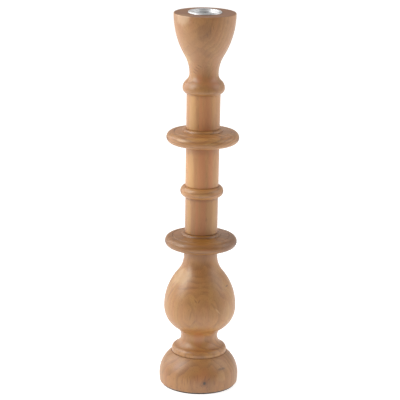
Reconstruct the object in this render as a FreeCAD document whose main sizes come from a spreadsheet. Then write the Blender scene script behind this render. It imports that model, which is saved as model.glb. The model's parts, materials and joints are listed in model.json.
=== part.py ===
import FreeCAD, Part
import math
import os
import re
import PartDesign
import Sketcher

# A turned wooden candlestick, held together by a threaded tie rod on its axis.
# Lengths in millimetres. +Z is up, the origin is the centre of the felt's underside.

SIZES = {
    # felt under the foot
    "felt_thickness": 1.5,
    "felt_inset": 1.7,
    # base: a dome with its widest belly low down
    "base_height": 29.6,
    "base_radius": 36.7,
    "base_foot_tuck": 0.5,
    "base_belly_height": 8.1,
    "base_ledge": 0.4,
    "base_edge_break": 0.7,
    # bulb turning: bead, lower neck, pear-shaped bulb, upper neck
    "bulb_height": 100.7,
    "bead_foot_radius": 25.3,
    "bead_radius": 25.5,
    "bead_middle_height": 2.2,
    "bead_top_radius": 22.75,
    "bead_top_height": 6.35,
    "lower_neck_radius": 17.0,
    "lower_neck_height": 15.0,
    "bulb_foot_radius": 20.3,
    "bulb_foot_height": 22.7,
    "bulb_radius": 33.3,
    "bulb_middle_height": 44.4,
    "upper_neck_radius": 15.6,
    "upper_neck_height": 92.6,
    "bulb_turn_share": 0.69,
    # the two discs, and the line turned into their upper faces
    "disc_thickness": 12.4,
    "disc_radius": 33.2,
    "disc_edge_radius": 5.1,
    "hub_rise": 2.4,
    "hub_flare": 3.0,
    "hub_step": 0.4,
    "ring_line_radius": 26.0,
    "ring_line_width": 2.4,
    "ring_line_depth": 1.4,
    # shaft sections and the ring between two of them
    "lower_shaft_length": 34.2,
    "middle_shaft_length": 39.1,
    "upper_shaft_length": 32.3,
    "lower_shaft_radius": 15.1,
    "middle_shaft_radius": 15.3,
    "upper_shaft_radius": 15.4,
    "ring_height": 9.9,
    "ring_step": 1.1,
    "ring_swell": 3.4,
    # cup head: collar bead, waist and flared cup
    "head_height": 73.1,
    "collar_step": 0.8,
    "collar_radius": 19.2,
    "collar_middle_height": 4.6,
    "collar_top_radius": 16.2,
    "collar_top_height": 11.3,
    "waist_radius": 13.3,
    "waist_height": 17.5,
    "rim_radius": 28.2,
    "rim_edge_radius": 0.9,
    "head_turn_share": 0.31,
    # spun metal candle cup that drops into the head
    "candle_radius": 11.4,
    "cup_wall": 0.5,
    "cup_depth": 24.0,
    "cup_bottom_radius": 1.0,
    "cup_flare_depth": 3.0,
    "cup_flare": 1.25,
    "cup_roll_radius": 1.325,
    "cup_clearance": 0.15,
    "cup_bottom_gap": 0.5,
    # glued spigots between neighbouring turnings
    "spigot_radius": 9.0,
    "spigot_length": 12.0,
    "spigot_clearance": 0.05,
    "spigot_end_gap": 1.0,
    # tie rod, nuts and washers
    "rod_radius": 3.0,
    "rod_clearance": 0.25,
    "thread_pitch": 1.0,
    "thread_depth": 0.55,
    "thread_half_share": 0.44,
    "thread_spare": 5.4,
    "rod_end_past_nut": 2.0,
    "nut_across_flats": 10.0,
    "nut_height": 5.0,
    "nut_face_inset": 0.3,
    "washer_radius": 6.0,
    "washer_clearance": 0.2,
    "washer_thickness": 1.6,
    "nut_pocket_clearance": 2.0,
    "nut_pocket_room": 4.9,
    "recess_clearance": 5.0,
    "recess_room": 2.9,
}

SHEET = "Sizes"
ORIGIN = (-1, 1)
HORIZONTAL_AXIS = -1
VERTICAL_AXIS = -2
START = 1
END = 2
CENTRE = 3
FULL_TURN = 360.0
FLATNESS = 1e-7
SMALLEST_CUT = 0.5
CUTTING_FEATURES = ("PartDesign::Groove", "PartDesign::SubtractiveHelix")

# Heights of the seams, each built on the one below it.
DISC_HEIGHT = "disc_thickness + hub_rise"
BASE_FOOT = "felt_thickness"
BULB_FOOT = BASE_FOOT + " + base_height"
LOWER_DISC_FOOT = BULB_FOOT + " + bulb_height"
LOWER_SHAFT_FOOT = LOWER_DISC_FOOT + " + " + DISC_HEIGHT
RING_FOOT = LOWER_SHAFT_FOOT + " + lower_shaft_length"
MIDDLE_SHAFT_FOOT = RING_FOOT + " + ring_height"
UPPER_DISC_FOOT = MIDDLE_SHAFT_FOOT + " + middle_shaft_length"
UPPER_SHAFT_FOOT = UPPER_DISC_FOOT + " + " + DISC_HEIGHT
HEAD_FOOT = UPPER_SHAFT_FOOT + " + upper_shaft_length"
HEAD_TOP = HEAD_FOOT + " + head_height"

# What stands past a washer's seat at each end of the tie rod, and the room that takes it.
ROD_REACH = "washer_thickness + nut_height + rod_end_past_nut"
RECESS_DEPTH = ROD_REACH + " + recess_room"
NUT_POCKET_DEPTH = ROD_REACH + " + nut_pocket_room"
BASE_SEAT = BASE_FOOT + " + " + RECESS_DEPTH
HEAD_SEAT = HEAD_TOP + " - cup_depth - cup_bottom_gap - (" + NUT_POCKET_DEPTH + ")"
ROD_FOOT = BASE_SEAT + " - (" + ROD_REACH + ")"
ROD_TOP = HEAD_SEAT + " + " + ROD_REACH
ROD_LENGTH = "(" + ROD_TOP + ") - (" + ROD_FOOT + ")"
THREAD_LENGTH = ROD_REACH + " + thread_spare"

# Radii and lengths that follow from a mating piece.
BASE_FOOT_RADIUS = "base_radius - base_foot_tuck"
RING_FOOT_RADIUS = "middle_shaft_radius + ring_step"
SOCKET_RADIUS = "spigot_radius + spigot_clearance"
SOCKET_DEPTH = "spigot_length + spigot_end_gap"
DISC_SPIGOT = "spigot_length + " + DISC_HEIGHT
RING_SPIGOT = "spigot_length + ring_height"
ROD_HOLE = "rod_radius + rod_clearance"
CUP_OUTER = "candle_radius + cup_wall"
CUP_BORE = CUP_OUTER + " + cup_clearance"
CUP_MOUTH = "candle_radius + cup_flare"
CUP_ROLL_MIDDLE = CUP_MOUTH + " + cup_roll_radius"
CUP_RIM = CUP_ROLL_MIDDLE + " + cup_roll_radius"
NUT_CORNER = "nut_across_flats / 2 / cos(30)"


def on_sheet(formula):
    """Point every size name in a formula at the spreadsheet."""
    def cell(word):
        name = word.group(0)
        return SHEET + "." + name if name in SIZES else name
    return re.sub(r"[a-z_]+", cell, formula)


def number(owner, formula):
    """Value of a formula as a plain number."""
    return float(owner.evalExpression(on_sheet(formula)))


def make_sheet(document):
    """Write every size into the spreadsheet, each with its own name."""
    sheet = document.addObject("Spreadsheet::Sheet", SHEET)
    for row, (name, value) in enumerate(SIZES.items(), start=1):
        sheet.set("A%d" % row, name)
        sheet.set("B%d" % row, str(value))
        sheet.setAlias("B%d" % row, name)
    document.recompute()


def make_body(document, name, height):
    """A body on the axis whose own origin stands at the given height."""
    body = document.addObject("PartDesign::Body", name)
    body.Label = name
    body.Placement = FreeCAD.Placement()
    body.setExpression("Placement.Base.z", on_sheet(height))
    return body


def make_sketch(body, name, plane):
    """An empty sketch on one of the body's own origin planes."""
    support = [item for item in body.Origin.OriginFeatures if item.Role == plane][0]
    sketch = body.newObject("Sketcher::SketchObject", name)
    sketch.AttachmentSupport = [(support, "")]
    sketch.MapMode = "FlatFace"
    return sketch


def arc_centre(sketch, start, end, rule):
    """Centre of the arc between two points, when one of its coordinates is known."""
    axis, formula = rule
    known = number(sketch, formula)
    other = 1 - axis
    gap = 2.0 * (end[other] - start[other])
    reach = end[other] ** 2 - start[other] ** 2
    reach += (end[axis] - known) ** 2 - (start[axis] - known) ** 2
    centre = [0.0, 0.0]
    centre[axis] = known
    centre[other] = reach / gap
    return centre


def add_arc(sketch, start, end, rule):
    """Draw the shorter arc between two points; says which of its ends comes first."""
    centre = arc_centre(sketch, start, end, rule)
    first = math.atan2(start[1] - centre[1], start[0] - centre[0])
    last = math.atan2(end[1] - centre[1], end[0] - centre[0])
    radius = math.dist(start, centre)
    circle = Part.Circle(FreeCAD.Vector(centre[0], centre[1], 0), FreeCAD.Vector(0, 0, 1), radius)
    forward = math.sin(last - first) > 0
    if not forward:
        first, last = last, first
    if last < first:
        last += 2.0 * math.pi
    index = sketch.addGeometry(Part.ArcOfCircle(circle, first, last), False)
    return index, forward


def pin(sketch, index, place, axis, formula):
    """Hold one coordinate of a point at a formula's value."""
    value = number(sketch, formula)
    if abs(value) < FLATNESS:
        line = VERTICAL_AXIS if axis == 0 else HORIZONTAL_AXIS
        sketch.addConstraint(Sketcher.Constraint("PointOnObject", index, place, line))
        return
    kind = "DistanceX" if axis == 0 else "DistanceY"
    ends = ORIGIN + (index, place)
    if value < 0:
        ends = (index, place) + ORIGIN
        formula = "-(" + formula + ")"
    added = sketch.addConstraint(Sketcher.Constraint(kind, *ends, abs(value)))
    sketch.setExpression("Constraints[%d]" % added, on_sheet(formula))


def draw(sketch, path):
    """Close a path of (across, up, arc rule) steps; the rule shapes the run that leads to its point."""
    points = [(number(sketch, across), number(sketch, up)) for across, up, _ in path]
    runs = []
    for step, (_, _, rule) in enumerate(path):
        start, end = points[step - 1], points[step]
        if rule is None:
            line = Part.LineSegment(FreeCAD.Vector(*start, 0), FreeCAD.Vector(*end, 0))
            runs.append((sketch.addGeometry(line, False), True))
        else:
            runs.append(add_arc(sketch, start, end, rule))
    for step, (across, up, rule) in enumerate(path):
        index, forward = runs[step]
        following, next_forward = runs[(step + 1) % len(path)]
        tail = END if forward else START
        head = START if next_forward else END
        sketch.addConstraint(Sketcher.Constraint("Coincident", index, tail, following, head))
        pin(sketch, index, tail, 0, across)
        pin(sketch, index, tail, 1, up)
        if rule is not None:
            pin(sketch, index, CENTRE, rule[0], rule[1])


def about_height(formula):
    """Arc rule: the centre is level with this height."""
    return (1, formula)


def about_radius(formula):
    """Arc rule: the centre is at this distance from the axis."""
    return (0, formula)


def straight(across, up):
    """A path step reached by a straight line."""
    return (across, up, None)


def turn(body, name, path):
    """Revolve a closed path about the body's axis."""
    sketch = make_sketch(body, name + "_outline", "XZ_Plane")
    draw(sketch, path)
    feature = body.newObject("PartDesign::Revolution", name)
    feature.Profile = sketch
    feature.ReferenceAxis = (sketch, ["V_Axis"])
    feature.Angle = FULL_TURN
    sketch.Visibility = False
    return feature


def cut_turn(body, name, path):
    """Cut away a closed path revolved about the body's axis."""
    sketch = make_sketch(body, name + "_outline", "XZ_Plane")
    draw(sketch, path)
    feature = body.newObject("PartDesign::Groove", name)
    feature.Profile = sketch
    feature.ReferenceAxis = (sketch, ["V_Axis"])
    feature.Angle = FULL_TURN
    sketch.Visibility = False
    return feature


def drill(body, name, radius, low, high):
    """Cut a round hole on the axis between two heights."""
    return cut_turn(body, name, [
        straight("0", low),
        straight(radius, low),
        straight(radius, high),
        straight("0", high),
    ])


def between(low, high, share):
    """Formula for the value a share of the way from one formula to another."""
    return "(%s) + ((%s) - (%s)) * %s" % (low, high, low, share)


def make_felt_pad(document):
    """Felt glued under the foot; it also closes the nut recess."""
    body = make_body(document, "felt_pad", "0")
    radius = BASE_FOOT_RADIUS + " - felt_inset"
    turn(body, "pad", [
        straight("0", "0"),
        straight(radius, "0"),
        straight(radius, "felt_thickness"),
        straight("0", "felt_thickness"),
    ])
    return body


def make_base(document):
    """Domed base with a recess for the nut below and a socket above."""
    body = make_body(document, "base", BASE_FOOT)
    turn(body, "dome", [
        straight("0", "0"),
        straight(BASE_FOOT_RADIUS + " - base_edge_break", "0"),
        straight(BASE_FOOT_RADIUS, "base_edge_break"),
        ("base_radius", "base_belly_height", about_height("base_belly_height")),
        ("bead_foot_radius + base_ledge", "base_height", about_height("base_belly_height")),
        straight("0", "base_height"),
    ])
    drill(body, "nut_recess", "washer_radius + recess_clearance", "0", RECESS_DEPTH)
    drill(body, "rod_hole", ROD_HOLE, "0", "base_height")
    drill(body, "socket", SOCKET_RADIUS, "base_height - (" + SOCKET_DEPTH + ")", "base_height")
    return body


def make_bulb(document):
    """Bead, lower neck, pear-shaped bulb and upper neck turned from one block."""
    body = make_body(document, "bulb", BULB_FOOT)
    sweep_across = between("bulb_radius", "upper_neck_radius", "bulb_turn_share")
    sweep_up = between("bulb_middle_height", "upper_neck_height", "bulb_turn_share")
    turn(body, "turning", [
        straight("0", "0"),
        straight("bead_foot_radius", "0"),
        ("bead_radius", "bead_middle_height", about_height("bead_middle_height")),
        ("bead_top_radius", "bead_top_height", about_height("bead_middle_height")),
        ("lower_neck_radius", "lower_neck_height", about_height("lower_neck_height")),
        ("bulb_foot_radius", "bulb_foot_height", about_height("lower_neck_height")),
        ("bulb_radius", "bulb_middle_height", about_height("bulb_middle_height")),
        (sweep_across, sweep_up, about_height("bulb_middle_height")),
        ("upper_neck_radius", "upper_neck_height", about_height("upper_neck_height")),
        straight("upper_neck_radius", "bulb_height"),
        straight("0", "bulb_height"),
    ])
    add_spigot(body, "spigot_length")
    drill(body, "rod_hole", ROD_HOLE, "-spigot_length", "bulb_height")
    drill(body, "socket", SOCKET_RADIUS, "bulb_height - (" + SOCKET_DEPTH + ")", "bulb_height")
    return body


def add_spigot(body, length):
    """Turned round tenon below a piece's own foot."""
    return turn(body, "spigot", [
        straight("0", "-(" + length + ")"),
        straight("spigot_radius", "-(" + length + ")"),
        straight("spigot_radius", "0"),
        straight("0", "0"),
    ])


def make_disc(document, name, height, shaft_radius):
    """Round-edged disc with a raised hub that the shaft above stands on."""
    body = make_body(document, name, height)
    middle = "disc_thickness / 2"
    edge_low = middle + " - disc_edge_radius"
    edge_high = middle + " + disc_edge_radius"
    edge_across = "disc_radius - disc_edge_radius"
    hub_foot = shaft_radius + " + hub_flare"
    hub_top = shaft_radius + " + hub_step"
    turn(body, "disc", [
        straight(SOCKET_RADIUS, "0"),
        straight(hub_foot, "0"),
        straight(edge_across, edge_low),
        ("disc_radius", middle, about_height(middle)),
        (edge_across, edge_high, about_height(middle)),
        straight(hub_foot, "disc_thickness"),
        (hub_top, DISC_HEIGHT, about_height("disc_thickness")),
        straight(SOCKET_RADIUS, DISC_HEIGHT),
    ])
    cut_turn(body, "ring_line", [
        straight("ring_line_radius", "disc_thickness - ring_line_depth"),
        straight("ring_line_radius + ring_line_width / 2", "disc_thickness"),
        straight("ring_line_radius - ring_line_width / 2", "disc_thickness"),
    ])
    return body


def make_shaft(document, name, height, spigot):
    """Plain shaft section with a spigot below and a socket above."""
    body = make_body(document, name, height)
    radius = name + "_radius"
    length = name + "_length"
    turn(body, "shaft", [
        straight("0", "0"),
        straight(radius, "0"),
        straight(radius, length),
        straight("0", length),
    ])
    add_spigot(body, spigot)
    drill(body, "rod_hole", ROD_HOLE, "-(" + spigot + ")", length)
    drill(body, "socket", SOCKET_RADIUS, length + " - (" + SOCKET_DEPTH + ")", length)
    return body


def make_ring_collar(document):
    """Half-round ring threaded over the middle shaft's spigot."""
    body = make_body(document, "ring_collar", RING_FOOT)
    middle = "ring_height / 2"
    turn(body, "ring", [
        straight(SOCKET_RADIUS, "0"),
        straight(RING_FOOT_RADIUS, "0"),
        (RING_FOOT_RADIUS + " + ring_swell", middle, about_height(middle)),
        (RING_FOOT_RADIUS, "ring_height", about_height(middle)),
        straight(SOCKET_RADIUS, "ring_height"),
    ])
    return body


def make_cup_head(document):
    """Flared head with its collar bead, bored for the candle cup and the nut."""
    body = make_body(document, "cup_head", HEAD_FOOT)
    sweep_across = between("waist_radius", "rim_radius", "head_turn_share")
    sweep_up = between("waist_height", "head_height - rim_edge_radius", "head_turn_share")
    rim_foot = "head_height - rim_edge_radius"
    bore_foot = "head_height - cup_depth - cup_bottom_gap"
    pocket_foot = bore_foot + " - (" + NUT_POCKET_DEPTH + ")"
    flare_foot = "head_height - cup_flare_depth - cup_clearance"
    turn(body, "turning", [
        straight("0", "0"),
        straight("upper_shaft_radius + collar_step", "0"),
        ("collar_radius", "collar_middle_height", about_height("collar_middle_height")),
        ("collar_top_radius", "collar_top_height", about_height("collar_middle_height")),
        ("waist_radius", "waist_height", about_height("waist_height")),
        (sweep_across, sweep_up, about_height("waist_height")),
        ("rim_radius", rim_foot, about_height(rim_foot)),
        ("rim_radius - rim_edge_radius", "head_height", about_height(rim_foot)),
        straight("0", "head_height"),
    ])
    add_spigot(body, "spigot_length")
    drill(body, "rod_hole", ROD_HOLE, "-spigot_length", "head_height")
    drill(body, "nut_pocket", "washer_radius + nut_pocket_clearance", pocket_foot, "head_height")
    drill(body, "cup_bore", CUP_BORE, bore_foot, "head_height")
    cut_turn(body, "bore_flare", [
        straight("0", flare_foot),
        straight(CUP_BORE, flare_foot),
        straight(CUP_MOUTH + " + cup_wall + cup_clearance", "head_height"),
        straight("0", "head_height"),
    ])
    return body


def make_candle_cup(document):
    """Spun metal cup: flat bottom, straight wall, flared mouth and rolled rim."""
    body = make_body(document, "candle_cup", HEAD_TOP)
    floor = "cup_wall - cup_depth"
    bend = "cup_bottom_radius - cup_depth"
    turn(body, "shell", [
        straight("0", "-cup_depth"),
        straight(CUP_OUTER + " - cup_bottom_radius", "-cup_depth"),
        (CUP_OUTER, bend, about_height(bend)),
        straight(CUP_OUTER, "-cup_flare_depth"),
        straight(CUP_MOUTH + " + cup_wall", "0"),
        (CUP_ROLL_MIDDLE, "cup_roll_radius - cup_wall", about_radius(CUP_ROLL_MIDDLE)),
        (CUP_RIM + " - cup_wall", "0", about_radius(CUP_ROLL_MIDDLE)),
        straight(CUP_RIM, "0"),
        (CUP_ROLL_MIDDLE, "cup_roll_radius", about_radius(CUP_ROLL_MIDDLE)),
        (CUP_MOUTH, "0", about_radius(CUP_ROLL_MIDDLE)),
        straight("candle_radius", "-cup_flare_depth"),
        straight("candle_radius", bend),
        (CUP_OUTER + " - cup_bottom_radius", floor, about_height(bend)),
        straight("0", floor),
    ])
    return body


def make_tie_rod(document):
    """Steel rod with a cut thread at each end."""
    body = make_body(document, "tie_rod", ROD_FOOT)
    turn(body, "rod", [
        straight("0", "0"),
        straight("rod_radius - thread_depth", "0"),
        straight("rod_radius", "thread_depth"),
        straight("rod_radius", ROD_LENGTH + " - thread_depth"),
        straight("rod_radius - thread_depth", ROD_LENGTH),
        straight("0", ROD_LENGTH),
    ])
    cut_thread(body, "lower_thread", "-thread_pitch")
    cut_thread(body, "upper_thread", ROD_LENGTH + " - (" + THREAD_LENGTH + ")")
    return body


def cut_thread(body, name, low):
    """Cut a vee thread upwards from the given height."""
    sketch = make_sketch(body, name + "_profile", "XZ_Plane")
    half = "thread_pitch * thread_half_share"
    draw(sketch, [
        straight("rod_radius - thread_depth", low),
        straight("rod_radius + rod_clearance", low + " - " + half),
        straight("rod_radius + rod_clearance", low + " + " + half),
    ])
    feature = body.newObject("PartDesign::SubtractiveHelix", name)
    feature.Profile = sketch
    feature.ReferenceAxis = (sketch, ["V_Axis"])
    feature.Mode = "pitch-height-angle"
    feature.setExpression("Pitch", on_sheet("thread_pitch"))
    feature.setExpression("Height", on_sheet(THREAD_LENGTH + " + thread_pitch"))
    sketch.Visibility = False


def make_washer(document, name, height):
    """Plain washer, standing on the given height."""
    body = make_body(document, name, height)
    hole = "rod_radius + washer_clearance"
    turn(body, "washer", [
        straight(hole, "0"),
        straight("washer_radius", "0"),
        straight("washer_radius", "washer_thickness"),
        straight(hole, "washer_thickness"),
    ])
    return body


def make_nut(document, name, height):
    """Hexagonal nut with both faces chamfered, standing on the given height."""
    body = make_body(document, name, height)
    sketch = make_sketch(body, "hexagon", "XY_Plane")
    flat = "nut_across_flats / 2"
    draw(sketch, [
        straight(NUT_CORNER, "0"),
        straight(NUT_CORNER + " / 2", flat),
        straight("-" + NUT_CORNER + " / 2", flat),
        straight("-" + NUT_CORNER, "0"),
        straight("-" + NUT_CORNER + " / 2", "-" + flat),
        straight(NUT_CORNER + " / 2", "-" + flat),
    ])
    pad = body.newObject("PartDesign::Pad", "hexagon_pad")
    pad.Profile = sketch
    pad.setExpression("Length", on_sheet("nut_height"))
    sketch.Visibility = False
    chamfer_nut(body, "lower_chamfer", "0", "")
    chamfer_nut(body, "upper_chamfer", "nut_height", "nut_height - ")
    drill(body, "threaded_bore", "rod_radius", "0", "nut_height")
    return body


def chamfer_nut(body, name, face, upwards_from):
    """Turn the corners off one face of a nut at thirty degrees."""
    inset = "nut_across_flats / 2 - nut_face_inset"
    cut_turn(body, name, [
        straight(inset, face),
        straight(NUT_CORNER, face),
        straight(NUT_CORNER, upwards_from + "(" + NUT_CORNER + " - (" + inset + ")) * tan(30)"),
    ])


def make_turnings(document):
    """The wooden pieces, from the base up to the head."""
    return [
        make_base(document),
        make_bulb(document),
        make_disc(document, "lower_disc", LOWER_DISC_FOOT, "lower_shaft_radius"),
        make_shaft(document, "lower_shaft", LOWER_SHAFT_FOOT, DISC_SPIGOT),
        make_ring_collar(document),
        make_shaft(document, "middle_shaft", MIDDLE_SHAFT_FOOT, RING_SPIGOT),
        make_disc(document, "upper_disc", UPPER_DISC_FOOT, "upper_shaft_radius"),
        make_shaft(document, "upper_shaft", UPPER_SHAFT_FOOT, DISC_SPIGOT),
        make_cup_head(document),
    ]


def make_fastening(document):
    """The tie rod that draws the turnings together, with a washer and a nut at each end."""
    return [
        make_tie_rod(document),
        make_washer(document, "base_washer", BASE_SEAT + " - washer_thickness"),
        make_nut(document, "base_nut", BASE_SEAT + " - washer_thickness - nut_height"),
        make_washer(document, "head_washer", HEAD_SEAT),
        make_nut(document, "head_nut", HEAD_SEAT + " + washer_thickness"),
    ]


def check(document, bodies):
    """Stop before anything is written if a feature failed or a piece is not one valid solid."""
    for item in document.Objects:
        if "Invalid" in item.State or "Error" in item.State:
            raise RuntimeError("%s failed: %s" % (item.Name, item.State))
    for body in bodies:
        shape = body.Shape
        if shape.isNull() or not shape.isValid() or len(shape.Solids) != 1:
            raise RuntimeError("%s is not one valid solid" % body.Label)
        for cut in [item for item in body.Group if item.TypeId in CUTTING_FEATURES]:
            if cut.BaseFeature.Shape.Volume - cut.Shape.Volume < SMALLEST_CUT:
                raise RuntimeError("%s cut nothing from %s" % (cut.Name, body.Label))


def main():
    """Build the document, check it and write one file for each piece."""
    document = FreeCAD.newDocument("candlestick")
    make_sheet(document)
    bodies = make_turnings(document) + make_fastening(document)
    bodies += [make_felt_pad(document), make_candle_cup(document)]
    document.recompute()
    check(document, bodies)
    os.makedirs("parts", exist_ok=True)
    for body in bodies:
        body.Shape.exportStep("parts/%s.step" % body.Label)
        box = body.Shape.BoundBox
        print("%-13s z %7.2f to %7.2f  volume %9.1f" % (body.Label, box.ZMin, box.ZMax, body.Shape.Volume))


main()
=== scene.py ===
import functools
import json
import math

import bmesh
import bpy
from mathutils import Euler, Matrix, Vector, noise


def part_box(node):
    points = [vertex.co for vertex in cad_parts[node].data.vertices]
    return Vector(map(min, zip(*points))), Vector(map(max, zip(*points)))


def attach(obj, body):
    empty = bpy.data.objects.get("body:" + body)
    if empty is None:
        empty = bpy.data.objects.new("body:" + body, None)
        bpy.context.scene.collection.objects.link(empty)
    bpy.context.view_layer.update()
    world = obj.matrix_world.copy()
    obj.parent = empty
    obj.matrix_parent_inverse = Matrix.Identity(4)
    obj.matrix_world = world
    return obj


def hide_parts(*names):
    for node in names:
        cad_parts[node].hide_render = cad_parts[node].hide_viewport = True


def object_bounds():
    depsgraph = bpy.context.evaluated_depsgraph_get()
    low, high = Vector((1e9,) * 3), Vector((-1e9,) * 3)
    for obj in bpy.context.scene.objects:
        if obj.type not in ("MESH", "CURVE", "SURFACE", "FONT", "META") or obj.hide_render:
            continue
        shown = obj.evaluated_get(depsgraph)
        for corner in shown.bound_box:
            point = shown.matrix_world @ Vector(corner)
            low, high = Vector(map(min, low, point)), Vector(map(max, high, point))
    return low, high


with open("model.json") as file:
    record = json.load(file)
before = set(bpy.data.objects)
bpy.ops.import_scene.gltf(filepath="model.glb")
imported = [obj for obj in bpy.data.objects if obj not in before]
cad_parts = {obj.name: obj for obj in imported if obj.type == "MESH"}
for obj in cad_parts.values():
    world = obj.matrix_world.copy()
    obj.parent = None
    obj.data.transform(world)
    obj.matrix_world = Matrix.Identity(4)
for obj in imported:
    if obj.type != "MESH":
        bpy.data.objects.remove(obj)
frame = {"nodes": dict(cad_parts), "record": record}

# A turned wooden candlestick with a metal candle cup, on a white floor in soft side light.
# Lengths are in metres, as in the frame, but a wooden piece's look and marks are in millimetres.

CAD_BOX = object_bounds()
MM = 0.001
FULL_TURN = 2 * math.pi
QUARTER_TURN = math.pi / 2

WOOD_NODES = ["base", "bulb", "lower_disc", "lower_shaft", "ring_collar", "middle_shaft", "upper_disc",
              "upper_shaft", "cup_head"]
STEEL_NODES = ["tie_rod", "base_washer", "base_nut", "head_washer", "head_nut"]

# How finely a turned piece is meshed. Inside the hidden radius are only bores, spigots and flat faces.
SEGMENTS = 180
STEP = 0.8 * MM
HIDDEN_STEP = 6.0 * MM
HIDDEN_RADIUS = 9.6 * MM
CORNER_ANGLE = math.radians(24)
STRAIGHT_ANGLE = math.radians(0.02)
SAME_POINT = 1e-7
AXIS_RADIUS = SAME_POINT * 10
DOUBLED = SAME_POINT * 20
FAR_AWAY = 1.0

# Eased edges, each taking at most a share of the edge beside it, the unevenness of hand turning, and
# how far the seam darkening reaches from where two pieces meet: painted shade, with some real dark joint.
EASE_SHARE = 0.4
WOOD_EASE = 0.15 * MM
METAL_EASE = 0.12 * MM
FELT_EASE = 0.3 * MM
WAVER = 0.05 * MM
WAVES_PER_METRE = 45.0
CREASE_REACH = 1.6 * MM


# ---------------------------------------------------------------- outlines of the CAD nodes

@functools.cache
def section(name):
    """Section of a turned CAD node at y = 0, x >= 0 as (radius, height) points, and whether it is closed."""
    cut = bmesh.new()
    cut.from_mesh(frame["nodes"][name].data)
    bmesh.ops.remove_doubles(cut, verts=cut.verts[:], dist=SAME_POINT)
    everything = cut.verts[:] + cut.edges[:] + cut.faces[:]
    found = bmesh.ops.bisect_plane(cut, geom=everything, dist=SAME_POINT, plane_co=(0, 0, 0),
                                   plane_no=(0, 1, 0))
    edges = [e for e in found["geom_cut"] if isinstance(e, bmesh.types.BMEdge)]
    edges = [e for e in edges if all(v.co.x > -SAME_POINT for v in e.verts)]
    points, closed = walk(edges)
    cut.free()
    if not closed:
        points = [Vector((0, points[0].y))] + points + [Vector((0, points[-1].y))]
    return points, closed


def walk(edges):
    """Follow joined edges from their lowest end, or round their loop, as (radius, height) points."""
    beside = {}
    for edge in edges:
        for near, far in (edge.verts, reversed(edge.verts)):
            beside.setdefault(near, []).append(far)
    ends = [v for v, others in beside.items() if len(others) == 1]
    here = min(ends or beside, key=lambda v: (v.co.z, v.co.x))
    path, before = [], None
    while here is not None and (not path or here is not path[0]):
        path.append(here)
        ahead = [v for v in beside[here] if v is not before]
        before, here = here, (ahead[0] if ahead else None)
    return [Vector((v.co.x, v.co.z)) for v in path], not ends


def turn_at(before, here, after):
    """Angle by which a path turns at a point."""
    return (here - before).angle_signed(after - here, 0.0)


def drop_straight(points, closed):
    """Leave out points that lie on a straight run."""
    kept = []
    for i, here in enumerate(points):
        inside = closed or 0 < i < len(points) - 1
        if inside and abs(turn_at(points[i - 1], here, points[(i + 1) % len(points)])) < STRAIGHT_ANGLE:
            continue
        kept.append(here)
    return kept


def find_corners(points, closed):
    """Which points are sharp corners. Both ends of an open path count as corners."""
    sharp = []
    for i, here in enumerate(points):
        at_end = not closed and i in (0, len(points) - 1)
        after = points[(i + 1) % len(points)]
        sharp.append(at_end or abs(turn_at(points[i - 1], here, after)) > CORNER_ANGLE)
    return sharp


def between(a, b, c, d, share):
    """Point on the Catmull-Rom curve from b to c."""
    s2, s3 = share * share, share * share * share
    return 0.5 * (2 * b + (c - a) * share + (2 * a - 5 * b + 4 * c - d) * s2 + (3 * b - a - 3 * c + d) * s3)


def stretch(before, a, b, after, cuts):
    """Points along the curve from a to b, less what the eased corners cut off its two ends."""
    length = (b - a).length
    step = HIDDEN_STEP if max(a.x, b.x) < HIDDEN_RADIUS else STEP
    pieces = max(1, math.ceil(length / step))
    shares = [(cuts[0] + (length - cuts[0] - cuts[1]) * k / pieces) / length for k in range(pieces + 1)]
    return [between(before, a, b, after, share) for share in shares]


def round_off(leave, corner, following, ease):
    """Points round an eased corner, after the point where the outline leaves its first edge."""
    run = following - corner
    entry = corner + run.normalized() * min(ease, EASE_SHARE * run.length)
    rounded = []
    for share in (0.25, 0.5, 0.75):
        one, two = leave.lerp(corner, share), corner.lerp(entry, share)
        rounded.append(one.lerp(two, share))
    return rounded


def anticlockwise(path, closed):
    """The path without doubled points, running anticlockwise."""
    clean = [path[0]]
    for point in path[1:]:
        if (point - clean[-1]).length > DOUBLED:
            clean.append(point)
    if closed and (clean[-1] - clean[0]).length < DOUBLED:
        clean.pop()
    if sum(clean[i - 1].cross(clean[i]) for i in range(len(clean))) < 0:
        clean.reverse()
    return clean


def outline(name, ease):
    """Outline of a node with smooth stretches as curves and each corner eased to about the given radius."""
    points, closed = section(name)
    points = drop_straight(points, closed)
    count = len(points)
    corner = find_corners(points, closed)
    result = []
    for i in range(count if closed else count - 1):
        ends = (i, (i + 1) % count)
        a, b = points[ends[0]], points[ends[1]]
        following = points[(i + 2) % count]
        before = a - (b - a) if corner[ends[0]] else points[i - 1]
        after = b + (b - a) if corner[ends[1]] else following
        reach = min(ease, EASE_SHARE * (b - a).length)
        cuts = [reach if corner[e] and (closed or 0 < e < count - 1) else 0.0 for e in ends]
        result += stretch(before, a, b, after, cuts)
        if cuts[1]:
            result += round_off(result[-1], b, following, ease)
            continue
        result.pop()
        if not closed and i == count - 2:
            result.append(b.copy())
    return anticlockwise(result, closed), closed


def distance_to(point, path):
    """Shortest distance from a point to a path of points."""
    best = FAR_AWAY
    for i in range(len(path)):
        a, b = path[i - 1], path[i]
        run = b - a
        share = 0.0
        if run.length_squared:
            share = max(0.0, min(1.0, (point - a).dot(run) / run.length_squared))
        best = min(best, (a + run * share - point).length)
    return best


def creases(points, others):
    """How close each outline point is to a neighbouring piece: 1 on the seam, 0 away from it."""
    values = []
    for point in points:
        near = min((distance_to(point, other) for other in others), default=FAR_AWAY)
        values.append(max(0.0, 1.0 - near / CREASE_REACH))
    return values


# ---------------------------------------------------------------- turned meshes

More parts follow.
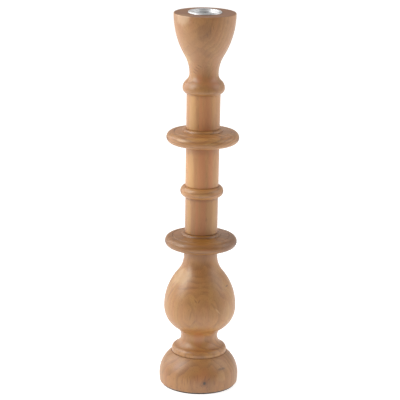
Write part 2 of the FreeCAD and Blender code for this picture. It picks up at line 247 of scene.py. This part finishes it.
def profile_normals(points, closed):
    """Outward normals in the section plane, for an outline that runs anticlockwise."""
    normals = []
    for i in range(len(points)):
        before = points[i - 1] if closed or i > 0 else points[i]
        after = points[(i + 1) % len(points)] if closed or i < len(points) - 1 else points[i]
        run = after - before
        normals.append(Vector((run.y, -run.x)).normalized())
    return normals


def worn(point, normal, waver):
    """Move a surface point inwards by the slow unevenness of hand turning."""
    return point + normal * (noise.noise(point * WAVES_PER_METRE) * waver - waver)


def ring_of(place, normal, waver):
    """The ring that an outline point sweeps, or one point where it lies on the axis."""
    radius, height = place
    if radius < AXIS_RADIUS:
        return [Vector((0, 0, height))]
    ring = []
    for k in range(SEGMENTS):
        angle = FULL_TURN * k / SEGMENTS
        c, s = math.cos(angle), math.sin(angle)
        point = Vector((radius * c, radius * s, height))
        if waver and radius > HIDDEN_RADIUS:
            point = worn(point, Vector((normal.x * c, normal.x * s, normal.y)), waver)
        ring.append(point)
    return ring


def faces_between(rings, closed):
    """Faces between neighbouring rings, with triangles where a ring is one point."""
    faces = []
    for i in range(len(rings) if closed else len(rings) - 1):
        low, high = rings[i], rings[(i + 1) % len(rings)]
        for k in range(SEGMENTS):
            after = (k + 1) % SEGMENTS
            corners = [low[k], low[after], high[after], high[k]]
            face = [v for j, v in enumerate(corners) if v not in corners[:j]]
            if len(face) > 2:
                faces.append(face)
    return faces


def add_object(name, data):
    """Put a new object in the scene."""
    added = bpy.data.objects.new(name, data)
    bpy.context.scene.collection.objects.link(added)
    return added


def lathe(name, node, ease, waver=0.0, others=()):
    """Revolve a node's outline into a mesh piece that replaces the node."""
    points, closed = outline(node, ease)
    verts, rings, crease_values = [], [], []
    for place, normal, value in zip(points, profile_normals(points, closed), creases(points, others)):
        ring = ring_of(place, normal, waver)
        rings.append([len(verts) + k % len(ring) for k in range(SEGMENTS)])
        verts += ring
        crease_values += [value] * len(ring)
    mesh = bpy.data.meshes.new(name)
    mesh.from_pydata(verts, [], faces_between(rings, closed))
    mesh.polygons.foreach_set("use_smooth", [True] * len(mesh.polygons))
    attribute = mesh.attributes.new("crease", "FLOAT", "POINT")
    attribute.data.foreach_set("value", crease_values)
    mesh.update()
    piece = add_object(name, mesh)
    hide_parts(node)
    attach(piece, node_body(node))
    return piece


def node_body(node):
    """Name of the body that a node belongs to."""
    bodies = frame["record"]["behaviour"]["bodies"]
    return next(body for body, members in bodies.items() if node in members)


def on_surface(node, angle, height_mm):
    """Point on a turned node's outside: degrees right of the front, height above its lowest point."""
    low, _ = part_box(node)
    height = low.z + height_mm * MM
    points, _ = section(node)
    radius = 0.0
    for i in range(len(points)):
        a, b = points[i - 1], points[i]
        if min(a.y, b.y) <= height <= max(a.y, b.y) and a.y != b.y:
            radius = max(radius, a.x + (b.x - a.x) * (height - a.y) / (b.y - a.y))
    turn = math.radians(angle)
    return Vector((radius * math.sin(turn), -radius * math.cos(turn), height))


# ---------------------------------------------------------------- material building blocks

class Shader:
    """A material's node tree with short calls for the nodes that these materials use."""

    def __init__(self, name):
        self.material = bpy.data.materials.new(name)
        self.material.use_nodes = True
        self.tree = self.material.node_tree
        self.surface = self.tree.nodes["Principled BSDF"]

    def put(self, socket, value):
        if isinstance(value, bpy.types.NodeSocket):
            self.tree.links.new(value, socket)
        else:
            socket.default_value = value

    def node(self, kind, inputs=(), **settings):
        made = self.tree.nodes.new("ShaderNode" + kind)
        for key, value in settings.items():
            setattr(made, key, value)
        for key, value in dict(inputs).items():
            self.put(made.inputs[key], value)
        return made

    def math(self, operation, a, b=0.0, clamp=False):
        made = self.node("Math", {0: a, 1: b}, operation=operation, use_clamp=clamp)
        return made.outputs[0]

    def scaled(self, value, factor):
        return self.math("MULTIPLY", value, factor)

    def ramp(self, value, low, high):
        """0 below low, 1 above high, smooth between; falls instead if low is above high."""
        made = self.node("MapRange", {"Value": value, "From Min": low, "From Max": high},
                         interpolation_type="SMOOTHSTEP")
        return made.outputs["Result"]

    def vector(self, operation, a, b=(0, 0, 0)):
        return self.node("VectorMath", {0: a, 1: b}, operation=operation).outputs[0]

    def length(self, a):
        return self.node("VectorMath", {0: a}, operation="LENGTH").outputs["Value"]

    def noise(self, place, size, detail=2.0, roughness=0.5):
        """Noise with features of the given sizes along x, y and z, in the units of place."""
        scaled = self.vector("MULTIPLY", place, tuple(1.0 / s for s in size))
        inputs = {"Vector": scaled, "Scale": 1.0, "Detail": detail, "Roughness": roughness}
        return self.node("TexNoise", inputs)

    def cloud(self, place, size, detail=2.0, roughness=0.5):
        """The noise's value alone."""
        return self.noise(place, size, detail, roughness).outputs[0]

    def mix(self, share, a, b, blend="MIX"):
        made = self.node("Mix", data_type="RGBA", blend_type=blend)
        self.put(made.inputs[0], share)
        self.put(made.inputs[6], a)
        self.put(made.inputs[7], b)
        return made.outputs[2]

    def toned(self, color, tone):
        """A colour multiplied by a tone."""
        return self.mix(1.0, color, tone, blend="MULTIPLY")

    def bump(self, height, distance, strength=1.0, normal=None):
        made = self.node("Bump", {"Height": height, "Distance": distance, "Strength": strength})
        if normal is not None:
            self.put(made.inputs["Normal"], normal)
        return made.outputs["Normal"]

    def finish(self, color, roughness, normal, **constants):
        self.put(self.surface.inputs["Base Color"], color)
        self.put(self.surface.inputs["Roughness"], roughness)
        self.put(self.surface.inputs["Normal"], normal)
        for key, value in constants.items():
            self.surface.inputs[key.replace("_", " ")].default_value = value
        return self.material


# ---------------------------------------------------------------- materials

# Linear colours of the wood, and tones that its colour is multiplied by.
LIGHT_WOOD = (0.51, 0.245, 0.072, 1)
DARK_WOOD = (0.26, 0.100, 0.024, 1)
RED_WOOD = (0.50, 0.185, 0.062, 1)
GOLD_WOOD = (0.56, 0.315, 0.095, 1)
PALE_WOOD = (0.66, 0.42, 0.20, 1)
# Painted highlight: the pale colour of the key light's gloss on the head's top left.
PAINTED_HIGHLIGHT_WOOD = (0.74, 0.52, 0.35, 1)
# The pores' colour, also used for the painted shade in the seams between pieces.
PORE_AND_SEAM_SHADE = (0.11, 0.042, 0.012, 1)
KNOT_WOOD = (0.065, 0.028, 0.008, 1)
END_TONE = (0.54, 0.42, 0.26, 1)
FIBRE_TONE = (0.74, 0.64, 0.55, 1)

# Linear colours of the cup, the zinc, the felt and the floor.
BRIGHT_METAL = (0.74, 0.75, 0.76, 1)
DULL_METAL = (0.62, 0.63, 0.64, 1)
ZINC = (0.56, 0.57, 0.58, 1)
YELLOW_ZINC = (0.60, 0.56, 0.44, 1)
DARK_FELT = (0.018, 0.012, 0.008, 1)
BROWN_FELT = (0.055, 0.038, 0.026, 1)
LINT = (0.20, 0.16, 0.12, 1)
FLOOR_SHADES = ((0.72, 0.72, 0.72, 1), (0.76, 0.76, 0.76, 1))
WHITE = (1, 1, 1, 1)

# How far apart in the plank, in millimetres, two looks one shift apart are cut.
SHIFT_STEP = 7.0
# An offset that gives a second noise of its own, in millimetres.
APART = (91, 37, 55)


class Look:
    """How one wooden piece was cut from the plank, and its own tone. Lengths in millimetres."""

    def __init__(self, pith=(10, 70), tilt=(2, 3), across=False, ring=4.5, warp=5.0, ring_strength=0.5,
                 red=0.5, gold=0.4, dark=0.0, shift=0.0, pores=0.35, crease=0.12, tone=(1.0, 1.0, 1.0),
                 marks=()):
        self.pith = pith
        self.tilt = tilt
        self.across = across
        self.ring = ring
        self.warp = warp
        self.ring_strength = ring_strength
        self.red = red
        self.gold = gold
        self.dark = dark
        self.shift = shift
        self.pores = pores
        self.crease = crease
        self.tone = (*tone, 1)
        self.marks = marks


class Mark:
    """A local patch on the wood, most of them its own features and a few painted shadow and highlight: a soft
    ragged ellipsoid patch, its sizes in millimetres.
    """

    def __init__(self, place, size, color, strength=0.6, turn=0.0, ragged=0.5):
        self.place = place
        self.size = size
        self.color = color
        self.strength = strength
        self.turn = turn
        self.ragged = ragged


def mark_on(node, angle, height_mm, *patch):
    """A mark on a turned node's outside; what follows the height is as for Mark."""
    return Mark(on_surface(node, angle, height_mm), *patch)


def grain_space(shader, place, look):
    """Position in the plank, in millimetres: the grain runs along z and the pith is the z axis."""
    lean = Euler((math.radians(look.tilt[0]), math.radians(look.tilt[1]), 0))
    if look.across:
        lean = Euler((lean.x, QUARTER_TURN + lean.y, 0))
    turned = shader.node("Mapping", {"Vector": place, "Scale": (1 / MM,) * 3, "Rotation": lean}).outputs[0]
    return shader.vector("ADD", turned, (-look.pith[0], -look.pith[1], look.shift * SHIFT_STEP))


def wander(shader, place, size, reach):
    """A sideways shift of the grain that changes slowly along it."""
    drift = shader.noise(place, size, detail=2.0).outputs["Color"]
    drift = shader.vector("SUBTRACT", drift, (0.5, 0.5, 0.5))
    return shader.vector("MULTIPLY", drift, (2 * reach, 2 * reach, 0.0))


def growth_rings(shader, place, look):
    """Late-wood lines of the growth rings, 0 to 1."""
    flat = shader.vector("MULTIPLY", place, (1, 1, 0))
    flat = shader.vector("ADD", flat, wander(shader, place, size=(38, 38, 110), reach=look.warp))
    flat = shader.vector("ADD", flat, wander(shader, place, size=(6, 6, 36), reach=1.1))
    turns = shader.math("DIVIDE", shader.length(flat), look.ring)
    uneven = shader.scaled(shader.cloud(flat, (15, 15, 15), detail=1.0), 2.2)
    phase = shader.math("FRACT", shader.math("ADD", turns, uneven))
    line = shader.math("MULTIPLY", shader.ramp(phase, 0.30, 0.92), shader.ramp(phase, 1.0, 0.94))
    weight = shader.ramp(shader.cloud(place, (14, 14, 70), detail=1.0), 0.35, 0.62)
    return shader.math("MULTIPLY", line, shader.math("ADD", shader.scaled(weight, 0.7), 0.3))


def add_marks(shader, place, color, marks):
    """Lay the piece's own patches, flecks and knots over its grain, and its painted shadows and highlight."""
    uneven = shader.cloud(place, (3 * MM, 3 * MM, 6 * MM), detail=3.0, roughness=0.65)
    for mark in marks:
        away = shader.vector("SUBTRACT", place, tuple(mark.place))
        spin = Euler((0, math.radians(mark.turn), 0))
        turned = shader.node("Mapping", {"Vector": away, "Rotation": spin, "Scale": (1 / MM,) * 3}).outputs[0]
        reach = shader.length(shader.vector("DIVIDE", turned, mark.size))
        reach = shader.math("ADD", reach, shader.scaled(uneven, mark.ragged))
        share = shader.ramp(reach, 1.0 + mark.ragged / 2, 0.4 + mark.ragged / 2)
        color = shader.mix(shader.scaled(share, mark.strength), color, mark.color)
    return color


def end_grain(shader, look):
    """How far the surface cuts the fibres' ends, from 0 along them to 1 straight across."""
    facing = shader.node("SeparateXYZ", {0: shader.node("TexCoord").outputs["Normal"]})
    along = shader.math("ABSOLUTE", facing.outputs["X" if look.across else "Z"])
    return shader.ramp(along, 0.86, 0.99)


def streaks(shader, plank, color, look):
    """Reddish and golden streaks and broad darker clouds along the grain."""
    red = shader.ramp(shader.cloud(plank, (8, 8, 150), detail=3.0), 0.46, 0.64)
    color = shader.mix(shader.scaled(red, look.red), color, RED_WOOD)
    apart = shader.vector("ADD", plank, APART)
    gold = shader.ramp(shader.cloud(apart, (6, 6, 170)), 0.50, 0.66)
    color = shader.mix(shader.scaled(gold, look.gold), color, GOLD_WOOD)
    cloud = shader.ramp(shader.cloud(apart, (26, 26, 50)), 0.38, 0.66)
    shade = shader.math("ADD", shader.scaled(cloud, 0.20), look.dark)
    return shader.mix(shade, color, DARK_WOOD)


def wood_relief(shader, place, fibres, pores, rings):
    """Raised fibres, sunk pores and rings, and the turning tool's fine lines round the piece."""
    height = shader.math("SUBTRACT", shader.scaled(fibres, 0.5), pores)
    height = shader.math("SUBTRACT", height, shader.scaled(rings, 0.2))
    normal = shader.bump(height, 0.06 * MM, 0.4)
    tool = shader.cloud(place, (400 * MM, 400 * MM, 0.45 * MM))
    return shader.bump(tool, 0.025 * MM, 0.3, normal)


def wood(name, look):
    """Light oiled wood: growth rings, streaks, fibres, pores, the piece's own marks (a few of them painted
    shadow and highlight) and painted shade in the seams.
    """
    shader = Shader(name)
    place = shader.node("TexCoord").outputs["Object"]
    plank = grain_space(shader, place, look)
    rings = growth_rings(shader, plank, look)
    color = shader.mix(shader.scaled(rings, look.ring_strength), LIGHT_WOOD, DARK_WOOD)
    color = streaks(shader, plank, color, look)
    fibres = shader.cloud(plank, (0.55, 0.55, 26), detail=4.0, roughness=0.65)
    fibre_share = shader.scaled(shader.ramp(fibres, 0.38, 0.70), 0.5)
    color = shader.mix(fibre_share, color, shader.toned(color, FIBRE_TONE))
    dashes = shader.cloud(plank, (0.6, 0.6, 6), detail=1.5, roughness=0.6)
    pores = shader.scaled(shader.ramp(dashes, 0.62, 0.72), look.pores)
    color = shader.mix(pores, color, PORE_AND_SEAM_SHADE)
    color = shader.toned(add_marks(shader, place, color, look.marks), look.tone)
    ends = end_grain(shader, look)
    color = shader.mix(ends, color, shader.toned(color, END_TONE))
    # Painted shade in the seams where two pieces meet, with some real dark joint: darkened towards the pores'
    # colour.
    crease = shader.node("Attribute", attribute_name="crease").outputs["Fac"]
    color = shader.mix(shader.scaled(shader.ramp(crease, 0.5, 1.0), look.crease), color, PORE_AND_SEAM_SHADE)
    gloss = shader.math("ADD", shader.scaled(fibres, 0.16), 0.38)
    gloss = shader.math("ADD", gloss, shader.scaled(pores, 0.2))
    gloss = shader.math("ADD", gloss, shader.scaled(ends, 0.25), clamp=True)
    normal = wood_relief(shader, place, fibres, pores, rings)
    return shader.finish(color, gloss, normal, Specular_IOR_Level=0.8, Coat_Weight=0.4, Coat_Roughness=0.42)


def cup_metal():
    """Spun aluminium with fine turning lines and a soft satin finish."""
    shader = Shader("cup_metal")
    place = shader.node("TexCoord").outputs["Object"]
    across = shader.length(shader.vector("MULTIPLY", place, (1, 1, 0)))
    height = shader.node("SeparateXYZ", {0: place}).outputs["Z"]
    ring = shader.node("CombineXYZ", {"X": across, "Y": height, "Z": 0.0}).outputs[0]
    lines = shader.cloud(ring, (0.12 * MM, 0.12 * MM, 1), detail=3.0, roughness=0.7)
    cloud = shader.cloud(place, (6 * MM, 6 * MM, 6 * MM), detail=3.0)
    color = shader.mix(shader.ramp(cloud, 0.35, 0.7), BRIGHT_METAL, DULL_METAL)
    gloss = shader.math("ADD", shader.scaled(lines, 0.12), 0.40)
    gloss = shader.math("ADD", gloss, shader.scaled(cloud, 0.12))
    normal = shader.bump(lines, 0.02 * MM, 0.3)
    return shader.finish(color, gloss, normal, Metallic=1.0)


def zinc_steel():
    """Zinc-plated steel with a faint yellow bloom and dull patches."""
    shader = Shader("zinc_steel")
    place = shader.node("TexCoord").outputs["Object"]
    bloom = shader.cloud(place, (4 * MM, 4 * MM, 9 * MM), detail=4.0)
    grit = shader.cloud(place, (0.3 * MM, 0.3 * MM, 0.3 * MM))
    color = shader.mix(shader.ramp(bloom, 0.4, 0.65), ZINC, YELLOW_ZINC)
    gloss = shader.math("ADD", shader.scaled(bloom, 0.3), 0.18)
    normal = shader.bump(grit, 0.01 * MM, 0.4)
    return shader.finish(color, gloss, normal, Metallic=1.0)


def felt_cloth():
    """Dark brown pressed felt: matted fibres and lint."""
    shader = Shader("felt")
    place = shader.node("TexCoord").outputs["Object"]
    mat = shader.cloud(place, (0.5 * MM, 0.5 * MM, 0.3 * MM), detail=5.0, roughness=0.75)
    tufts = shader.cloud(place, (5 * MM, 5 * MM, 5 * MM))
    color = shader.mix(shader.ramp(mat, 0.3, 0.7), DARK_FELT, BROWN_FELT)
    lint = shader.cloud(place, (0.15 * MM, 2.2 * MM, 0.3 * MM))
    color = shader.mix(shader.scaled(shader.ramp(lint, 0.70, 0.76), 0.5), color, LINT)
    gloss = shader.math("ADD", shader.scaled(tufts, 0.1), 0.86)
    normal = shader.bump(mat, 0.25 * MM, 0.8)
    return shader.finish(color, gloss, normal, Sheen_Weight=0.5, Sheen_Roughness=0.5)


# ---------------------------------------------------------------- each wooden piece's marks and look

def base_marks():
    """A smudge with a pale patch below it, the knot and its rays, and ticks at the foot."""
    marks = [mark_on("base", 37, 14, (6, 9, 6.5), PALE_WOOD, 0.3, 0, 0.9),
             mark_on("base", 39, 20.5, (5.5, 6, 1.4), KNOT_WOOD, 0.5, 0, 0.9),
             mark_on("base", 7, 16, (10, 9, 9), RED_WOOD, 0.5, 0, 0.9),
             mark_on("base", 9, 9.8, (4.5, 4, 4.5), DARK_WOOD, 0.75, 0),
             mark_on("base", 9, 9.8, (1.7, 4, 2.1), KNOT_WOOD, 1.0, 0)]
    for angle, height, length, turn in [(10, 14.5, 3.0, -10), (15, 13.0, 2.4, -40), (5, 7.0, 2.0, 30),
                                        (13, 6.0, 1.8, -30)]:
        marks.append(mark_on("base", angle, height, (0.4, 3, length), KNOT_WOOD, 0.6, turn))
    for angle, height, length in [(-24, 11, 4), (-16, 12, 5), (-11, 10.4, 4), (-1, 14.5, 5), (3, 8, 3),
                                  (24, 9, 3), (42, 4.8, 3)]:
        marks.append(mark_on("base", angle, height, (0.4, 3, length), DARK_WOOD, 0.8, 0))
    return marks


def bulb_marks():
    """A pale patch high on the left, curved strokes about the middle of the grain, a few flecks and a painted
    shadow under the disc above.
    """
    return [mark_on("bulb", -55, 88, (17, 16, 9), PALE_WOOD, 0.6, 10, 0.8),
            mark_on("bulb", -25, 80, (15, 9, 1.3), DARK_WOOD, 0.35, 12, 0.9),
            mark_on("bulb", -1, 70, (0.8, 4, 3.0), DARK_WOOD, 0.7, -35),
            mark_on("bulb", -7, 70, (0.8, 4, 3.2), DARK_WOOD, 0.7, 35),
            mark_on("bulb", -14, 57.7, (0.9, 5, 6.5), DARK_WOOD, 0.5, -12),
            mark_on("bulb", -9, 50, (0.9, 5, 4.0), DARK_WOOD, 0.4, -40),
            mark_on("bulb", 23, 65, (1.2, 5, 6.0), DARK_WOOD, 0.4, 38),
            mark_on("bulb", 30, 60, (1.0, 5, 5.0), PALE_WOOD, 0.4, 38),
            mark_on("bulb", 62, 79.5, (1.6, 5, 0.9), KNOT_WOOD, 0.6, 10, 0.8),
            mark_on("bulb", 10, 77.8, (5, 7, 1.0), DARK_WOOD, 0.4, -8, 0.8),
            mark_on("bulb", -2, 30, (7, 16, 13), RED_WOOD, 0.6, 0, 0.7),
            mark_on("bulb", 50, 56, (7, 12, 12), PALE_WOOD, 0.25, 0, 0.9),
            # Painted shadow of the lower disc, as a darker band round the bulb's top.
            painted_shadow_band("bulb", 12.0, 0.45)]


def head_marks():
    """Soft patches, the palest at the top left a painted highlight, strokes over the waist and ticks near the
    rim.
    """
    marks = [mark_on("cup_head", 8, 51, (13, 9, 4.5), DARK_WOOD, 0.3, -32, 0.9),
             mark_on("cup_head", 0, 72, (10, 9, 12), DARK_WOOD, 0.4, 0, 0.9),
             mark_on("cup_head", -72, 44, (7, 14, 9), GOLD_WOOD, 0.6, 0, 0.9),
             mark_on("cup_head", 45, 80, (2.6, 6, 2.6), DARK_WOOD, 0.3, 0, 0.5),
             # Painted highlight: a pale patch where the key light's gloss falls on the head.
             mark_on("cup_head", -46, 83, (11, 12, 9), PAINTED_HIGHLIGHT_WOOD, 0.5, 0, 0.8),
             mark_on("cup_head", 30, 24, (10, 9, 8), RED_WOOD, 0.6, 0, 0.8),
             mark_on("cup_head", -15, 27, (4, 9, 6), RED_WOOD, 0.6, 0, 0.8)]
    for k in range(4):
        marks.append(mark_on("cup_head", -40 + 8 * k, 32.5 + 2.2 * k, (3.4, 5, 0.55), DARK_WOOD, 0.8, -28))
    for angle, height, length in [(11, 73, 3.4), (16, 76, 2.6), (6, 69, 2.6)]:
        marks.append(mark_on("cup_head", angle, height, (0.4, 3, length), KNOT_WOOD, 0.45, 5))
    return marks


def painted_shadow_band(node, depth_mm, strength):
    """A darker band round the top of a node: painted shadow cast by the piece above."""
    _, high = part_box(node)
    return Mark(Vector((0, 0, high.z)), (40, 40, depth_mm), DARK_WOOD, strength, 0, 0.4)


def shaft_marks(node, reds, golds):
    """Long reddish and golden bands down a shaft, each at an angle and with a half width."""
    low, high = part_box(node)
    length = (high.z - low.z) / MM
    bands = [(angle, width, RED_WOOD) for angle, width in reds]
    bands += [(angle, width, GOLD_WOOD) for angle, width in golds]
    return [mark_on(node, a, length / 2, (w, 6, length), color, 0.6, 0, 0.6) for a, w, color in bands]


def lower_disc_marks():
    """A dark right end, a dark line low on the edge and a reddish one on its front."""
    return [mark_on("lower_disc", 62, 6, (18, 26, 9), DARK_WOOD, 0.75, 0, 0.8),
            mark_on("lower_disc", -4, 3.6, (15, 8, 0.9), DARK_WOOD, 0.6, 0, 0.9),
            mark_on("lower_disc", 8, 6.6, (9, 6, 1.3), RED_WOOD, 0.7, 0, 0.8)]


def upper_disc_marks():
    """Two pale lines on the front edge and a dark one under them."""
    return [mark_on("upper_disc", -38, 8.7, (7, 7, 1.2), PALE_WOOD, 0.6, 0, 0.8),
            mark_on("upper_disc", 12, 7.1, (8, 6, 1.0), PALE_WOOD, 0.4, 0, 0.8),
            mark_on("upper_disc", -5, 3.4, (14, 8, 0.9), DARK_WOOD, 0.6, 0, 0.9)]


def base_and_bulb_looks():
    """Looks of the two thick pieces at the foot."""
    return {
        "base": Look(pith=(3, 58), tilt=(5, 3), ring=4.4, red=0.3, gold=0.2, shift=31, pores=0.5,
                     ring_strength=0.5, tone=(0.78, 0.74, 0.60), crease=0.0, marks=base_marks()),
        "bulb": Look(pith=(-3, 62), tilt=(-3, 2), ring=4.0, warp=6, red=0.25, gold=0.4, shift=12,
                     ring_strength=0.5, tone=(0.88, 0.85, 0.72), crease=0.0, marks=bulb_marks()),
    }


def disc_and_ring_looks():
    """Looks of the pieces whose grain lies across the candlestick."""
    return {
        "lower_disc": Look(pith=(20, 40), across=True, ring=2.7, red=0.3, gold=0.2, dark=0.2, shift=50,
                           ring_strength=0.7, tone=(0.69, 0.60, 0.24), marks=lower_disc_marks()),
        "upper_disc": Look(pith=(-20, 45), across=True, ring=2.7, red=0.2, gold=0.3, dark=0.05, shift=95,
                           ring_strength=0.7, tone=(0.93, 0.88, 0.72), marks=upper_disc_marks()),
        "ring_collar": Look(pith=(-30, 40), across=True, ring=3.6, warp=4, red=0.2, gold=0.3, shift=23),
    }


def shaft_look(pith, shift, tone, marks, crease=0.12):
    """Look of a shaft section: faint rings and its own bands."""
    return Look(pith=pith, ring=5.5, warp=3, red=0.15, gold=0.3, shift=shift, ring_strength=0.15, tone=tone,
                crease=crease, marks=marks)


def shaft_and_head_looks():
    """Looks of the three shaft sections and the head."""
    lower = shaft_marks("lower_shaft", [(5, 4), (-15, 2)], [(-50, 3), (50, 3)])
    # Painted shadow of the ring collar, as a darker band round the shaft's top.
    lower.append(painted_shadow_band("lower_shaft", 3.6, 0.5))
    middle = shaft_marks("middle_shaft", [(-2, 5), (30, 3)], [(-42, 4)])
    # Painted shadow of the upper disc, as a darker band round the shaft's top.
    middle.append(painted_shadow_band("middle_shaft", 11.0, 0.5))
    upper = shaft_marks("upper_shaft", [(14, 6), (-8, 2)], [(-40, 5)])
    return {
        # Strong painted shade at its seams, the dark line under the ring collar among them.
        "lower_shaft": shaft_look((30, 50), 77, (0.90, 0.84, 0.74), lower, crease=0.7),
        "middle_shaft": shaft_look((-35, 45), 140, (1.10, 1.08, 1.08), middle),
        "upper_shaft": shaft_look((25, -55), 210, (1.10, 1.08, 1.08), upper),
        # Strong painted shade at its seams, among them the shadow under the candle cup's rim.
        "cup_head": Look(pith=(30, 58), tilt=(5, -4), ring=4.2, warp=6, red=0.3, gold=0.2, dark=0.03,
                         shift=160, ring_strength=0.3, crease=0.6, tone=(0.92, 0.90, 0.82),
                         marks=head_marks()),
    }


# ---------------------------------------------------------------- pieces

def build_turnings():
    """Mesh every wooden node again, smooth and with eased edges, and give each its wood."""
    sections = {name: drop_straight(*section(name)) for name in WOOD_NODES + ["candle_cup"]}
    looks = base_and_bulb_looks() | disc_and_ring_looks() | shaft_and_head_looks()
    for node in WOOD_NODES:
        others = [path for other, path in sections.items() if other != node and touching(node, other)]
        piece = lathe("turned_" + node, node, ease=WOOD_EASE, waver=WAVER, others=others)
        dress(piece, wood("wood_" + node, looks[node]))


def touching(node, other):
    """Whether two nodes' heights overlap or come within a millimetre."""
    (low, high), (other_low, other_high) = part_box(node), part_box(other)
    return low.z <= other_high.z + MM and other_low.z <= high.z + MM


def dress(piece, material):
    """Give a piece its material."""
    piece.data.materials.append(material)


def build_cup():
    """The spun metal candle cup."""
    piece = lathe("spun_cup", "candle_cup", ease=METAL_EASE)
    dress(piece, cup_metal())


def build_felt():
    """The felt disc under the foot."""
    piece = lathe("felt_disc", "felt_pad", ease=FELT_EASE)
    dress(piece, felt_cloth())


def finish_steel():
    """The hidden rod, washers and nuts keep their CAD shapes."""
    steel = zinc_steel()
    for name in STEEL_NODES:
        mesh = frame["nodes"][name].data
        mesh.materials.clear()
        mesh.materials.append(steel)


# ---------------------------------------------------------------- stage, light and camera

FLOOR_REACH = 4.0
# The floor's own glow rises from none at the front to its full strength behind the candlestick.
GLOW_START, GLOW_FULL = -0.75, -0.045
GLOW_STRENGTH = 0.70

# The studio's walls: where their strength changes from front to back, and its two values.
WALL_RANGE = {"From Min": -0.6, "From Max": 0.5, "To Min": 0.26, "To Max": 0.7}
WALL_COLOR = (1.0, 0.96, 0.92, 1)

# Each soft box: its place, its width and height, and its power in watts.
SOFT_BOXES = {
    "key_left": ((-1.16, -0.31, 0.95), (0.26, 1.2), 12.5),
    "edge_left": ((-1.05, 0.60, 0.75), (0.35, 1.2), 4.5),
    "fill_right": ((1.15, -0.05, 0.8), (1.0, 1.1), 5.0),
}

# The camera's distance in front of the axis and height above the table, its angles and its lens.
CAMERA_DISTANCE = 1.608
CAMERA_HEIGHT = 0.6214
CAMERA_PITCH = math.radians(15.464)
CAMERA_LEAN = math.radians(1.05)
CAMERA_YAW = math.radians(0.0535)
SENSOR_WIDTH_MM = 36.0
LENS_MM = 163.97


def build_floor():
    """A level white floor that glows softly towards the back, like a lit backdrop."""
    mesh = bpy.data.meshes.new("floor")
    size = FLOOR_REACH
    corners = [(-size, -size, 0), (size, -size, 0), (size, size, 0), (-size, size, 0)]
    mesh.from_pydata(corners, [], [(0, 1, 2, 3)])
    floor = add_object("floor", mesh)
    shader = Shader("floor_white")
    place = shader.node("TexCoord").outputs["Object"]
    mottle = shader.cloud(place, (0.3, 0.3, 0.3))
    shader.put(shader.surface.inputs["Base Color"], shader.mix(mottle, *FLOOR_SHADES))
    shader.surface.inputs["Roughness"].default_value = 0.9
    depth = shader.node("SeparateXYZ", {0: place}).outputs["Y"]
    glow = shader.scaled(shader.ramp(depth, GLOW_START, GLOW_FULL), GLOW_STRENGTH)
    shader.surface.inputs["Emission Color"].default_value = WHITE
    shader.put(shader.surface.inputs["Emission Strength"], glow)
    mesh.materials.append(shader.material)


def build_world():
    """Warm white studio walls, brightest at the back and darker at the camera's side."""
    world = bpy.data.worlds.new("studio")
    bpy.context.scene.world = world
    world.use_nodes = True
    tree = world.node_tree
    place = tree.nodes.new("ShaderNodeTexCoord")
    split = tree.nodes.new("ShaderNodeSeparateXYZ")
    tree.links.new(place.outputs["Generated"], split.inputs[0])
    ramp = tree.nodes.new("ShaderNodeMapRange")
    ramp.interpolation_type = "SMOOTHSTEP"
    tree.links.new(split.outputs["Y"], ramp.inputs["Value"])
    for key, value in WALL_RANGE.items():
        ramp.inputs[key].default_value = value
    background = tree.nodes["Background"]
    tree.links.new(ramp.outputs[0], background.inputs["Strength"])
    background.inputs["Color"].default_value = WALL_COLOR


def build_lights():
    """Tall soft boxes at the left and behind it on that side, and a wide weaker one at the right."""
    middle = (CAD_BOX[0] + CAD_BOX[1]) / 2
    for name, (place, size, power) in SOFT_BOXES.items():
        data = bpy.data.lights.new(name, "AREA")
        data.shape = "RECTANGLE"
        data.size, data.size_y = size
        data.energy = power
        lamp = add_object(name, data)
        lamp.location = place
        lamp.rotation_euler = (middle - Vector(place)).to_track_quat("-Z", "Y").to_euler()


def build_camera():
    """A long lens above the candlestick's top, looking down on it."""
    camera_data = bpy.data.cameras.new("camera")
    camera_data.sensor_width = SENSOR_WIDTH_MM
    camera_data.lens = LENS_MM
    camera = add_object("camera", camera_data)
    yaw = Matrix.Rotation(CAMERA_YAW, 4, "Z")
    pitch = Matrix.Rotation(QUARTER_TURN - CAMERA_PITCH, 4, "X")
    look = yaw @ pitch @ Matrix.Rotation(CAMERA_LEAN, 4, "Z")
    camera.matrix_world = Matrix.Translation((0, -CAMERA_DISTANCE, CAMERA_HEIGHT)) @ look
    bpy.context.scene.camera = camera


build_camera()
build_turnings()
build_cup()
build_felt()
finish_steel()
build_floor()
build_world()
build_lights()
bpy.context.scene.view_settings.view_transform = "Standard"
